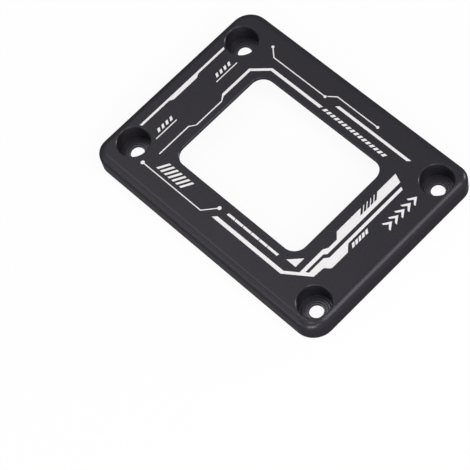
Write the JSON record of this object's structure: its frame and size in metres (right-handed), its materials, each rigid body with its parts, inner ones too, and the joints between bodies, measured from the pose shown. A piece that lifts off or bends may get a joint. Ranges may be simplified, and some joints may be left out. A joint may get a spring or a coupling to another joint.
{
  "type": "cpu socket retention frame",
  "caption": "Flat black aluminium frame with a central window and counterbored corner screw holes, screwed down over a processor so that its thin lip presses on it.",
  "frame": {"origin": "centre of the plate's outline, on its flat underside", "axes": "+Z out of the marked face, +X along the long side towards the wider screw pair, +Y along the short side"},
  "size_m": [0.074, 0.0542, 0.006],
  "materials": {
    "black_anodised": "satin black anodised over a fine blasted grain",
    "bright_mark": "bare metal where a laser has taken the black off, fine matt grain"
  },
  "bodies": {
    "root": {"retention_frame": "black_anodised"}
  },
  "joints": []
}
